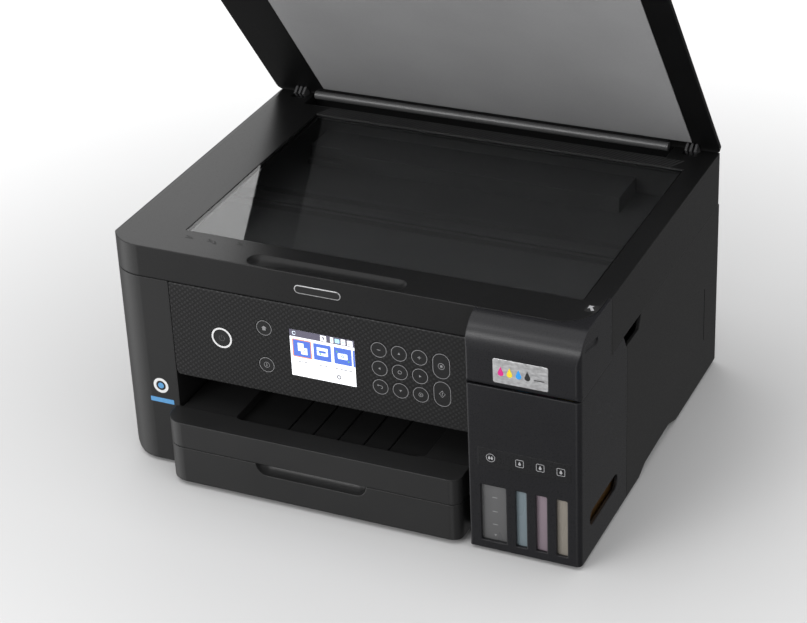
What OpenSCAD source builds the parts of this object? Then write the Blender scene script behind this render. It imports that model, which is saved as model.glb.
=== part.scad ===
// Ink-tank inkjet printer with a flatbed scanner, a front paper cassette and
// refillable ink tanks beside it. The lid stands open. Units are millimetres.
// X runs from the left side to the right side, Y from the front to the back,
// Z up. The origin is on the table, in the middle of the printer's footprint.

/* [Overall] */
// Width over the side covers
body_w = 375; // [360:1:450]
// Depth over the paper cassette and the rear cover
body_d = 347; // [335:1:420]
// Height with the lid closed
body_h = 187; // [182:1:225]
// Height of the feet under the case
foot_h = 3; // [2:0.5:6]
// Thickness of the case walls
wall = 2.5; // [2:0.1:3]
// Gap in the seams between neighbouring covers
seam = 0.5; // [0.4:0.05:0.8]
// How far the rear cover stands out behind the side covers
rear_out = 41; // [36:1:50]
// Radius of the front left corner seen from above
corner_r = 30; // [20:1:34]
// Radius of the bottom left edge seen from the front
edge_r = 20; // [12:1:22]

/* [Ink tank block] */
// Width of the ink tank block at the front right
tank_w = 82.4; // [80:0.2:98]
// How far the tank block stands forward of the front face
tank_out = 20.5; // [17:0.5:25]
// Height of the seam under the tank cover
tank_seam_z = 135.5; // [120:0.5:140]
// Depth of the tank cover along the side
tank_cover_d = 61; // [58:1:64]
// Depth of the tank housing along the side
tank_housing_d = 93; // [88:1:98]
// Radius of the tank cover's front top edge
cover_r = 21; // [15:1:24]
// Width of the black ink window
black_window_w = 19; // [16:0.5:20]
// Width of each colour ink window
colour_window_w = 8.3; // [6:0.1:9]
// Height of the ink windows
window_h = 46.5; // [38:0.5:56]
// Spacing of the colour tanks
tank_pitch = 15; // [14:0.5:17]

/* [Scanner] */
// Thickness of the lid
lid_t = 3.2; // [2.8:0.1:4]
// Gap between the closed lid and the rim
lid_gap = 0.8; // [0.6:0.1:1.2]
// Angle at which the lid stands open
lid_open = 52.5; // [30:0.5:70]
// Height of the scanner unit's front band
band_h = 24.8; // [22:0.2:28]
// Height of the scanner unit's side skirts
skirt_h = 42.7; // [40:0.1:46]
// Width of the scanning window
glass_w = 305; // [290:1:312]
// Depth of the scanning window
glass_d = 213; // [205:1:216]
// Distance from the left side to the scanning window
glass_left = 53; // [50:1:55]
// Distance from the front face to the scanning window
glass_front = 33; // [30:1:36]
// Thickness of the glass
glass_t = 3; // [2:0.5:4]

/* [Front] */
// Width of the pillar left of the control panel
pillar_w = 53.4; // [48:0.2:60]
// Clear height of the paper exit under the control panel
exit_h = 27; // [22:1:30]
// Thickness of the control panel
panel_t = 12; // [10:0.5:14]
// Width of the screen
screen_w = 50.5; // [46:0.5:54]
// Height of the screen
screen_h = 37.5; // [34:0.5:40]
// Diameter of the small keys
key_d = 12.6; // [11:0.1:13.4]
// Spacing of the small keys
key_pitch = 15.4; // [14.6:0.1:16]
// Travel of the keys
key_travel = 0.6; // [0.4:0.1:1]
// Diameter of the power key
power_d = 16.6; // [14:0.2:19]

/* [Paper] */
// Height of the cassette drawer above the table
tray_z = 4; // [3.5:0.5:6]
// Height of the cassette drawer's front
drawer_h = 29; // [27:1:33]
// Height of the output tray's front
tray_h = 20.5; // [18:0.5:24]
// How far the tray and cassette fronts stand ahead of the tank block
tray_out = 2; // [0:0.5:5]
// Width of the tray and cassette fronts
fascia_w = 234.5; // [226:0.5:236]
// Depth of the stacking hollow in the output tray
hollow_depth = 8; // [5:0.5:10]
// Width of the stacking hollow in the output tray
hollow_w = 151; // [120:1:158]
// Number of grooves in the output tray
groove_count = 5; // [3:1:7]
// Spacing of the grooves
groove_pitch = 20; // [16:1:22]
// Width of the finger grip in the cassette front
grip_w = 88; // [80:1:110]
// Radius of the paper feed roller
feed_r = 6; // [5:0.5:7]
// Radius of the paper pickup roller
pickup_r = 12; // [10:0.5:13]

/* [Fits] */
// Radius of the hinge pins of the lid and the control panel
pin_r = 1.6; // [1.2:0.1:2]
// Radial clearance of shafts and pins
fit = 0.06; // [0.03:0.01:0.09]
// Clearance round the keys and sliding parts
slip = 0.4; // [0.3:0.05:0.6]

/* [Hidden] */
$fn = 64;
eps = 0.01;

// Main planes of the case
x_left = -body_w / 2;
x_right = body_w / 2;
y_tank = -body_d / 2 + tray_out;
y_face = y_tank + tank_out;
y_back = body_d / 2 - rear_out;
z_case = foot_h;
x_pillar = x_left + pillar_w;
x_tank = x_right - tank_w;
z_rim = body_h - lid_t - lid_gap;
z_band = z_rim - band_h;
z_skirt = z_rim - skirt_h;
z_deck = z_skirt - 3;
y_step = y_tank + tank_cover_d + seam;
z_tray = tray_z + drawer_h + seam;
z_tray_top = z_tray + tray_h;
z_panel = z_tray_top + exit_h;
z_panel_top = z_band - seam - 0.2;
mid_x = (x_pillar + x_tank) / 2;

// Lid hinge, scanner hinge, panel hinge and tank cover hinge
lid_y = y_back - 2.5;
lid_z = z_rim - 3.5;
barrel_r = 3.4;
barrel_y = lid_y - 6.5;
lift_y = y_back - 4;
lift_z = z_skirt + 5.7;
panel_y = y_face + 5.5;
panel_z = z_panel_top - 16;
knuckle_r = 3.2;
cover_y = y_tank + knuckle_r;
cover_z = tank_seam_z + knuckle_r;

// Rear cover
rear_x0 = x_pillar + 2;
rear_x1 = x_tank - 2;
rear_z1 = z_case + 112;

// Print mechanism
x_mech_l = x_left + 30;
x_mech_r = x_right - 12;
y_mech = y_face + 72;
plate_t = 1.2;
feed_y = y_mech + 60;
feed_z = z_tray_top + 30;
exit_y = y_mech + 8;
exit_z = z_tray_top + 28;
pickup_y = y_mech + 132;
pickup_z = z_tray + 4 + pickup_r;
belt_y = y_mech + 108;
belt_z = feed_z + 26;
belt_r = 5;
home_w = 66;

// Keys on the control panel
screen_x = x_pillar + 95.8;
screen_z = z_panel + 19;
key_y = y_face;
power_x = x_pillar + 40.7;
power_z = z_panel + 38.2;
side_key_x = x_pillar + 75.8;
pad_x = x_pillar + 165.3;
pad_z = z_panel + 23.4;
tall_key_x = x_pillar + 212.5;
tall_key_w = 13.6;
tall_key_h = 20.6;

// Tanks: centre of each and half its width
black_x = x_right - 64.2;
function colour_x(i) = x_right - 43.7 + i * tank_pitch;
tank_front = y_tank + wall + 0.3;
tank_back = y_tank + 60;
tank_top = tank_seam_z - 16;
neck_y = y_tank + 11.5;
cap_hinge_y = y_tank + 24;
cap_hinge_z = tank_top + 5.5;

// A box from its lowest corner to its highest corner
module slab(x0, x1, y0, y1, z0, z1)
    translate([x0, y0, z0]) cube([x1 - x0, y1 - y0, z1 - z0]);

// Rods along each axis
module x_rod(x0, x1, y, z, r) translate([x0, y, z]) rotate([0, 90, 0]) cylinder(r = r, h = x1 - x0);
module y_rod(x, y0, y1, z, r) translate([x, y1, z]) rotate([90, 0, 0]) cylinder(r = r, h = y1 - y0);
module z_rod(x, y, z0, z1, r) translate([x, y, z0]) cylinder(r = r, h = z1 - z0);

// The waste left outside a rounded corner; the corner is at the origin and
// the material lies towards positive x and y
module corner_waste(r)
    translate([-eps, -eps]) difference() {
        square(r + eps);
        translate([r + eps, r + eps]) circle(r);
    }

// A rectangle with its own radius at each corner: front left, front right,
// back right, back left; a radius of 0 leaves the corner sharp
module rect4(x0, x1, y0, y1, r)
    difference() {
        translate([x0, y0]) square([x1 - x0, y1 - y0]);
        if (r[0] > 0) translate([x0, y0]) corner_waste(r[0]);
        if (r[1] > 0) translate([x1, y0]) rotate(90) corner_waste(r[1]);
        if (r[2] > 0) translate([x1, y1]) rotate(180) corner_waste(r[2]);
        if (r[3] > 0) translate([x0, y1]) rotate(270) corner_waste(r[3]);
    }

// A rounded block standing on z0
module block4(x0, x1, y0, y1, z0, z1, r)
    translate([0, 0, z0]) linear_extrude(z1 - z0) rect4(x0, x1, y0, y1, r);

// A profile drawn in y and z, extruded along x
module along_x(x0, x1)
    translate([x0, 0, 0]) rotate([90, 0, 90]) linear_extrude(x1 - x0) children();

// A profile drawn in x and z, extruded along y
module along_y(y0, y1)
    translate([0, y1, 0]) rotate([90, 0, 0]) linear_extrude(y1 - y0) children();

// ---- Case ----

module lower_case() color([0.10, 0.10, 0.11])
    difference() {
        union() {
            // floor
            slab(x_pillar + seam, x_tank - seam, y_face + wall + 1, y_face + 57,
                z_case, z_case + 2.2);
            slab(x_left + edge_r + 3, x_tank - seam, y_face + 56, y_back - wall,
                z_case, z_case + 2.2);
            slab(x_tank - 1, x_right - wall - seam, y_tank + tank_housing_d + seam,
                y_back - wall, z_case, z_case + 2.2);
            // back wall
            slab(x_left + edge_r + 3, x_right - wall - seam, y_back - wall, y_back,
                z_case, z_skirt - 0.7);
            along_y(y_back - wall, y_back)
                rect4(x_left + wall + seam, x_left + edge_r + 4, z_case + wall + seam,
                    z_skirt - 0.7, [edge_r - wall - seam, 0, 0, 0]);
            // rails each side of the cassette
            slab(x_pillar - wall, x_pillar, y_face + 56, y_back - wall, z_case, z_tray_top + 3);
            slab(x_tank, x_tank + wall, y_tank + tank_housing_d + seam, y_back - wall,
                z_case, z_tray_top + 3);
            // pedestals of the metal frame
            for (x = [x_mech_l - 2, x_mech_r - 3])
                slab(x, x + 5, y_mech + 4, y_mech + 118, z_case, z_tray_top + 3);
            // screw posts
            for (p = screws) z_rod(p[0], p[1], z_case, z_case + 12, 4);
        }
        // way for the cassette and the rear paper path
        slab(rear_x0 + wall, rear_x1 - wall, y_back - wall - 1, y_back + 1,
            z_case + 2.2, rear_z1 - wall);
        // bearings of the pickup shaft
        x_rod(x_pillar - wall - 1, x_tank + wall + 1, pickup_y, pickup_z, 3 + fit);
        // screw holes
        for (p = screws) z_rod(p[0], p[1], z_case - 1, z_case + 13, 1.5);
        // sockets of the power inlet and the data port
        slab(inlet_x - 12, inlet_x + 12, y_back - wall - 1, y_back + 1, inlet_z - 8, inlet_z + 8);
        slab(x_left + 25, x_left + 38, y_back - wall - 1, y_back + 1, port_z - 6, port_z + 6);
    }
screws = [for (x = [x_left + 40, x_right - 24], y = [y_back - 150, y_back - 14]) [x, y]];
inlet_x = x_right - 38;
inlet_z = z_case + 62;
port_z = z_case + 87;

// Side cover and front pillar, rounded at the front corner and along the bottom
module left_shape(t)
    intersection() {
        block4(x_left + t, x_pillar + 40, y_face + t, y_back + 2 * t, z_case - 1, z_band,
            [corner_r - t, 0, 0, 0]);
        along_y(y_face - 1, y_back + 2 * t + 1)
            rect4(x_left + t, x_pillar + 50, z_case + t, z_band + 1, [edge_r - t, 0, 0, 0]);
    }

module left_cover() color([0.13, 0.13, 0.14])
    difference() {
        left_shape(0);
        difference() {
            left_shape(wall);
            slab(x_pillar - wall, x_pillar + 1, y_face, y_face + 55, 0, body_h);
        }
        // right of the pillar there is only the front opening
        slab(x_pillar, x_pillar + 60, y_face - 1, y_face + 55.5, -1, body_h);
        slab(x_left + edge_r + 2.5, x_pillar + 60, y_face + 55, y_back + 5, -1, body_h);
        // seam under the scanner unit and step down along the side
        slab(x_left - 1, x_pillar + 60, y_face - 1, y_back + 5, z_band - seam, body_h);
        slab(x_left - 1, x_pillar + 60, y_step, y_back + 5, z_skirt - seam, body_h);
        slab(x_left - 1, x_pillar + 60, y_back, y_back + 9, 0, body_h);
        // room for the scanner unit behind the pillar
        slab(x_pillar - wall - 1, x_pillar + 1, y_face + 24, y_step + 1, z_skirt - seam, body_h);
    }

module right_cover() color([0.13, 0.13, 0.14])
    difference() {
        union() {
            slab(x_right - wall, x_right, y_tank + tank_housing_d + seam, y_back - seam,
                z_case, z_skirt - seam);
            // stiffening flange inside
            slab(x_right - 9, x_right - wall + eps, y_tank + tank_housing_d + 34,
                y_back - wall - 1, z_skirt - 14, z_skirt - 12);
        }
        // finger notch for lifting the scanner unit
        along_x(x_right - wall - 1, x_right + 1)
            polygon([[y_tank + 85, z_skirt + 1], [y_tank + 91, z_skirt - 11],
                [y_tank + 117, z_skirt - 11], [y_tank + 123, z_skirt + 1]]);
        // hand hold in the bottom edge
        along_x(x_right - wall - 1, x_right + 1)
            polygon([[y_tank + 119, z_case - 1], [y_tank + 135, z_case + 5],
                [y_tank + 188, z_case + 6.4], [y_tank + 209, z_case - 1]]);
        // slit near the back
        slab(x_right - 0.8, x_right + 1, y_back - 33, y_back - 31.6, z_case + 34, z_case + 79);
    }

// ---- Ink tank block ----

module window(x, w)
    along_y(y_tank - 1, y_tank + wall + 1)
        rect4(x - w / 2, x + w / 2, z_case + 6.2, z_case + 6.2 + window_h, [1, 1, 1, 1]);

// Arm and pin that carry the tank cover; side is 1 on the left and -1 on the right
module cover_arm(x, side) {
    x0 = side > 0 ? x + 0.4 : x - 2.6;
    slab(x0, x0 + 2.2, cover_y, cover_y + 9, cover_z + 0.3, cover_z + 2.2);
    slab(x0, x0 + 2.2, cover_y + 6, cover_y + 9, tank_seam_z - 12, cover_z + 2.2);
    slab(min(x, x + side * 2.6), max(x, x + side * 2.6), cover_y + 6, cover_y + 9,
        tank_seam_z - 18, tank_seam_z - 4);
    x_rod(x0, x0 + 2.2, cover_y, cover_z, knuckle_r - 1);
    x_rod(side > 0 ? x - wall + 0.3 : x0, side > 0 ? x0 + 1 : x + wall - 0.3,
        cover_y, cover_z, 1);
}

module tank_housing() color([0.12, 0.12, 0.13]) {
    cover_arm(x_tank + wall, 1);
    cover_arm(x_right - wall, -1);
    tank_housing_shell();
}

module tank_housing_shell()
    difference() {
        block4(x_tank, x_right, y_tank, y_tank + tank_housing_d, z_case, z_skirt - seam,
            [1.5, 4, 0, 0]);
        // hollow, open at the top and the back
        block4(x_tank + wall, x_right - wall, y_tank + wall, y_tank + tank_housing_d + 1,
            z_case + wall, body_h, [0.5, 2, 0, 0]);
        // lower front part under the tank cover
        slab(x_tank - 1, x_right + 1, y_tank - 1, y_step - seam, tank_seam_z - seam, body_h);
        window(black_x, black_window_w);
        for (i = [0:2]) window(colour_x(i), colour_window_w);
        // slot low in the side
        along_x(x_right - wall - 1, x_right + 1)
            rect4(y_tank + 18, y_tank + 74, z_case + 21.5, z_case + 34.5, [6, 6, 6, 6]);
        // front half of the finger notch
        along_x(x_right - wall - 1, x_right + 1)
            polygon([[y_tank + 85, z_skirt + 1], [y_tank + 91, z_skirt - 11],
                [y_tank + 117, z_skirt - 11], [y_tank + 123, z_skirt + 1]]);
        // way for the ink tubes into the mechanism
        slab(x_tank - 1, x_tank + wall + 1, y_tank + 70, y_tank + 82, tank_top - 30, body_h);
    }

// A tank with its filler neck in front and the hinge of its cap behind it
module ink_tank(x, w)
    difference() {
        union() {
            slab(x - w / 2, x + w / 2, tank_front, tank_back, z_case + wall + 0.3, tank_top);
            z_rod(x, neck_y, tank_top - 1, tank_top + 6, 4.6);
            for (s = [-1, 1])
                along_x(x + s * 4.2 - 0.9, x + s * 4.2 + 0.9) {
                    translate([cap_hinge_y - 2.2, tank_top - 1])
                        square([4.4, cap_hinge_z - tank_top + 1]);
                    translate([cap_hinge_y, cap_hinge_z]) circle(2.2);
                }
        }
        slab(x - w / 2 + 1.2, x + w / 2 - 1.2, tank_front + 1.2, tank_back - 1.2,
            z_case + wall + 1.8, tank_top - 1.5);
        z_rod(x, neck_y, tank_top - 5, tank_top + 9, 3.4);
        x_rod(x - 6, x + 6, cap_hinge_y, cap_hinge_z, 1 + fit);
    }

module ink_tank_black() color([0.45, 0.45, 0.47, 0.8]) ink_tank(black_x, black_window_w + 4);
module ink_tank_cyan() color([0.45, 0.55, 0.62, 0.8]) ink_tank(colour_x(0), tank_pitch - 2);
module ink_tank_magenta() color([0.58, 0.48, 0.55, 0.8]) ink_tank(colour_x(1), tank_pitch - 2);
module ink_tank_yellow() color([0.6, 0.57, 0.48, 0.8]) ink_tank(colour_x(2), tank_pitch - 2);

// A stopper on an arm that swings up and back about its pin
module ink_cap(x) {
    z_rod(x, neck_y, tank_top + 6.4, tank_top + 11.4, 5.8);
    z_rod(x, neck_y, tank_top + 4.8, tank_top + 6.5, 3);
    slab(x - 2.6, x + 2.6, neck_y + 5.1, cap_hinge_y, cap_hinge_z - 1.4, cap_hinge_z + 3.4);
    x_rod(x - 2.6, x + 2.6, cap_hinge_y, cap_hinge_z, 2.1);
    x_rod(x - 5.3, x + 5.3, cap_hinge_y, cap_hinge_z, 1);
    slab(x - 2.2, x + 2.2, neck_y - 7.4, neck_y - 3, tank_top + 8.4, tank_top + 10.4);
}

module ink_cap_black() color([0.05, 0.05, 0.05]) ink_cap(black_x);
module ink_cap_cyan() color([0.05, 0.45, 0.65]) ink_cap(colour_x(0));
module ink_cap_magenta() color([0.65, 0.1, 0.4]) ink_cap(colour_x(1));
module ink_cap_yellow() color([0.8, 0.7, 0.1]) ink_cap(colour_x(2));

// Outline of the scanner unit from above; its right front corner steps in
// behind the tank cover
module scanner_outline(t, back)
    difference() {
        rect4(x_left + t, x_right - t, y_face + t, back, [corner_r - t, 0, 3, 3]);
        translate([x_right - 3 - t, y_face - 1]) square([9, y_step - y_face + 1 + t]);
        translate([x_right - 3 - t, y_face + t]) rotate(90) corner_waste(corner_r - 4 - t);
    }

module tank_cover_profile(t)
    translate([0, 0]) difference() {
        translate([y_tank + t, tank_seam_z])
            square([tank_cover_d - 2 * t, z_rim - tank_seam_z - t]);
        translate([y_tank + t, z_rim - t]) rotate(270) corner_waste(cover_r - t);
    }

module tank_cover() color([0.16, 0.16, 0.17])
    difference() {
        intersection() {
            difference() {
                along_x(x_tank, x_right) tank_cover_profile(0);
                along_x(x_tank + wall, x_right - wall) tank_cover_profile(wall);
            }
            block4(x_tank, x_right, y_tank, y_tank + tank_cover_d, 0, body_h, [1.5, 4, 0, 0]);
        }
        // room for the scanner unit's corner
        translate([0, 0, z_band - 1]) linear_extrude(body_h)
            scanner_outline(-seam, y_back);
        // open towards the inside behind the front face
        slab(x_tank - 1, x_right - wall, y_face - seam, y_step + 1, 0, z_rim - wall);
        // round under the front edge, about the hinge
        along_x(x_tank - 1, x_right + 1) translate([y_tank, tank_seam_z])
            corner_waste(knuckle_r);
        // oval finger hold in the side
        translate([x_right - 0.9, y_tank + 21, z_rim - 14]) rotate([-12, 0, 0])
            along_x(0, 3) rect4(-13, 13, -2.8, 2.8, [2.7, 2.7, 2.7, 2.7]);
        // hinge bores
        x_rod(x_tank - 1, x_right + 1, cover_y, cover_z, 1 + fit);
        // relief round the hinge arms
        for (x = [x_tank + wall, x_right - wall - 3.2])
            x_rod(x, x + 3.2, cover_y, cover_z, knuckle_r - 0.5);
    }

// ---- Frame and mechanism ----

module upper_frame() color([0.09, 0.09, 0.10])
    difference() {
        union() {
            // deck under the scanner unit
            slab(x_pillar + seam, x_tank - seam, y_face + 24, y_face + 57, z_deck - 2.5, z_deck);
            slab(x_left + wall + seam, x_tank - seam, y_face + 56, y_back - wall - seam,
                z_deck - 2.5, z_deck);
            slab(x_tank - seam - eps, x_right - wall - seam, y_tank + tank_housing_d + 1,
                y_back - wall - seam, z_deck - 2.5, z_deck);
            // beam behind the control panel
            slab(x_pillar + seam, x_tank - seam, y_face + 24, y_face + 27, z_panel + 2, z_deck);
            // ears of the control panel
            for (x = [x_pillar + 12, x_tank - 16]) panel_ear(x);
            // ears of the scanner unit
            for (x = [x_pillar + 6, x_tank - 12])
                slab(x, x + 6, lift_y - 5, y_back - wall - seam, z_deck - 1, lift_z);
            for (x = [x_pillar + 6, x_tank - 12]) x_rod(x, x + 6, lift_y, lift_z, 4);
        }
        // room for fingers in the notch at the right
        slab(x_right - 12, x_right, y_tank + tank_housing_d, y_tank + 124, z_deck - 4, z_deck + 1);
        // access to the print head
        slab(x_mech_l + 12, x_mech_r - 12, y_mech + 6, y_back - 46, z_deck - 4, z_deck + 1);
        for (x = [x_pillar + 5, x_tank - 13]) x_rod(x, x + 8, lift_y, lift_z, 2 + fit);
        for (x = [x_pillar + 11, x_tank - 17]) x_rod(x, x + 6, panel_y, panel_z, pin_r + fit);
    }

// Ear that reaches forward into the hollow of the control panel
module panel_ear(x) {
    slab(x, x + 4, panel_y, y_face + 25, panel_z - 3, panel_z + 3);
    slab(x, x + 4, y_face + 24, y_face + 27, z_deck - 1, panel_z + 3);
    x_rod(x, x + 4, panel_y, panel_z, 3);
}

module side_plate(x)
    difference() {
        slab(x, x + plate_t, y_mech, y_mech + 120, z_tray_top + 3, z_deck - 3);
        x_rod(x - 1, x + plate_t + 1, feed_y, feed_z, 4 + fit);
        x_rod(x - 1, x + plate_t + 1, exit_y, exit_z, 3 + fit);
    }

module metal_frame() color([0.62, 0.63, 0.65]) {
    side_plate(x_mech_l);
    side_plate(x_mech_r - plate_t);
    // back plate and the guide on which the carriage runs
    slab(x_mech_l, x_mech_r, y_mech + 120, y_mech + 120 + plate_t, z_tray_top + 20, z_deck - 3);
    difference() {
        slab(x_mech_l + plate_t, x_mech_r - plate_t, y_mech + 98, y_mech + 120.5,
            feed_z + 18, feed_z + 18 + plate_t);
        z_rod(x_mech_r - plate_t - 12, belt_y, feed_z + 17, feed_z + 20, 2.5);
    }
    // front guide
    slab(x_mech_l + plate_t, x_mech_r - plate_t, y_mech + 22, y_mech + 30,
        feed_z + 18, feed_z + 18 + plate_t);
}

module platen() color([0.12, 0.12, 0.12]) {
    slab(x_mech_l + plate_t, x_mech_r - home_w - 12, y_mech + 20, y_mech + 50,
        feed_z - 8, feed_z - 3);
    rib_pitch = 20;
    ribs = floor((x_mech_r - home_w - 20 - x_mech_l) / rib_pitch);
    for (i = [0:ribs - 1])
        slab(x_mech_l + 12 + i * rib_pitch, x_mech_l + 14 + i * rib_pitch,
            y_mech + 20, y_mech + 50, feed_z - 3.5, feed_z - 0.5);
}

// Print head carriage at its home on the right
head_x0 = x_mech_r - plate_t - 3 - home_w;
module print_carriage() color([0.17, 0.17, 0.18])
    difference() {
        union() {
            slab(head_x0, head_x0 + home_w, y_mech + 14, y_mech + 94, feed_z + 20, feed_z + 42);
            slab(head_x0 + 6, head_x0 + home_w - 6, y_mech + 34, y_mech + 48,
                feed_z + 4, feed_z + 21);
            // shoe on the guide and clamp on the belt
            slab(head_x0 + 4, head_x0 + home_w - 4, y_mech + 93, y_mech + 102,
                feed_z + 19.4, feed_z + 23);
            slab(head_x0 + 26, head_x0 + 40, y_mech + 93, y_mech + 102,
                feed_z + 25, feed_z + 32);
        }
        // well for the ink dampers
        slab(head_x0 + 4, head_x0 + home_w - 4, y_mech + 30, y_mech + 90,
            feed_z + 24, feed_z + 43);
        // room over the front guide
        slab(head_x0 - 1, head_x0 + home_w + 1, y_mech + 13, y_mech + 30.6,
            feed_z + 19, feed_z + 21);
    }

module timing_belt() color([0.07, 0.07, 0.07])
    translate([0, 0, belt_z]) linear_extrude(5) difference() {
        belt_loop(belt_r + 0.8);
        belt_loop(belt_r);
    }

module belt_loop(r) {
    x0 = x_mech_l + plate_t + 12;
    x1 = x_mech_r - plate_t - 12;
    translate([x0, belt_y - r]) square([x1 - x0, 2 * r]);
    for (x = [x0, x1]) translate([x, belt_y]) circle(r);
}

module encoder_strip() color([0.7, 0.7, 0.72, 0.6])
    slab(x_mech_l + plate_t, x_mech_r - plate_t, y_mech + 116, y_mech + 116.4,
        feed_z + 26, feed_z + 34);

module carriage_motor() color([0.55, 0.55, 0.57]) {
    x = x_mech_r - plate_t - 12;
    z_rod(x, belt_y, feed_z - 12, feed_z + 18, 10.5);
    z_rod(x, belt_y, feed_z + 15, belt_z + 6, 1.5);
    z_rod(x, belt_y, belt_z, belt_z + 5, belt_r - 0.1);
    z_rod(x, belt_y, belt_z - 1, belt_z, belt_r + 1.5);
    // idler at the other end
    z_rod(x_mech_l + plate_t + 12, belt_y, belt_z, belt_z + 5, belt_r - 0.1);
    z_rod(x_mech_l + plate_t + 12, belt_y, feed_z + 18 + plate_t, belt_z, 2);
}

module feed_motor() color([0.55, 0.55, 0.57]) {
    x_rod(x_mech_l + plate_t, x_mech_l + 34, y_mech + 90, feed_z - 10, 13);
    x_rod(x_mech_l + 34, x_mech_l + 36, y_mech + 90, feed_z - 10, 5);
}

module cap_station() color([0.2, 0.2, 0.21]) {
    slab(x_mech_r - home_w - 8, x_mech_r - plate_t, y_mech + 22, y_mech + 50,
        feed_z - 20, feed_z - 6);
    slab(head_x0 + 10, head_x0 + home_w - 10, y_mech + 32, y_mech + 49,
        feed_z - 7, feed_z + 3.4);
}

module maintenance_box() color([0.2, 0.2, 0.21])
    block4(x_tank + 6, x_right - 34, y_back - 74, y_back - 8, z_case + 2.2, z_case + 42,
        [3, 3, 3, 3]);

module power_supply() color([0.3, 0.3, 0.31]) {
    slab(x_tank + 6, x_right - 32, y_mech + 6, y_back - 80, z_case + 2.2, z_case + 44);
    slab(x_tank + 14, x_right - 40, y_mech + 16, y_back - 92, z_case + 43.9, z_case + 50);
}

module main_board() color([0.10, 0.32, 0.18]) {
    x = x_mech_l - 8;
    slab(x, x + 1.6, y_mech + 8, y_back - 18, port_z - 28, port_z + 36);
    for (i = [0:2])
        slab(x - 4, x + eps, y_mech + 20 + i * 28, y_mech + 36 + i * 28, port_z - 10, port_z + 6);
    slab(x - 8, x + eps, y_mech + 14, y_back - 44, port_z + 20, port_z + 28);
    // standoffs on the frame's side
    for (y = [y_mech + 14, y_mech + 112], z = [port_z - 22, port_z + 30])
        x_rod(x + 1, x_mech_l, y, z, 2.5);
    // data port
    slab(x_left + 26, x_left + 37, y_back - 20, y_back - 0.5, port_z - 5, port_z + 5);
    slab(x + 1.5, x_left + 30, y_back - 30, y_back - 19, port_z - 6, port_z + 6);
}

module ac_inlet() color([0.06, 0.06, 0.06]) {
    difference() {
        slab(inlet_x - 11.6, inlet_x + 11.6, y_back - 20, y_back, inlet_z - 7.6, inlet_z + 7.6);
        for (s = [-1, 1]) y_rod(inlet_x + s * 4.2, y_back - 13, y_back + 1, inlet_z, 4.4);
        slab(inlet_x - 4.2, inlet_x + 4.2, y_back - 13, y_back + 1, inlet_z - 3, inlet_z + 3);
    }
    for (s = [-1, 1]) y_rod(inlet_x + s * 4.2, y_back - 14, y_back - 3, inlet_z, 1.2);
}

module ink_tubes() color([0.25, 0.25, 0.27])
    for (i = [0:3]) {
        z = tank_top - 8 + i * 2.8;
        y_rod(x_tank + 12 + i * 4, tank_back + 0.2, y_tank + 76 + i * 1.5, z, 1.2);
        x_rod(x_tank - 26, x_tank + 13 + i * 4, y_tank + 76 + i * 1.5 - 1, z, 1.2);
    }

feet = [[x_left + edge_r + 14, y_face + 22], [x_left + edge_r + 14, y_back - 32],
    [x_right - 22, y_tank + 16], [x_right - 22, y_back - 32]];
module rubber_feet() color([0.05, 0.05, 0.05])
    for (p = feet) z_rod(p[0], p[1], 0, z_case, 8);

module case_screws() color([0.5, 0.5, 0.52])
    for (p = screws) {
        z_rod(p[0], p[1], z_case - 1.6, z_case, 3.2);
        z_rod(p[0], p[1], z_case - 0.1, z_case + 10, 1.45);
    }

// ---- Scanner unit ----

x_glass = x_left + glass_left;
y_glass = y_face + glass_front;
z_bed = z_skirt + 8;
trough_y0 = lid_y - 19.5;

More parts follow.
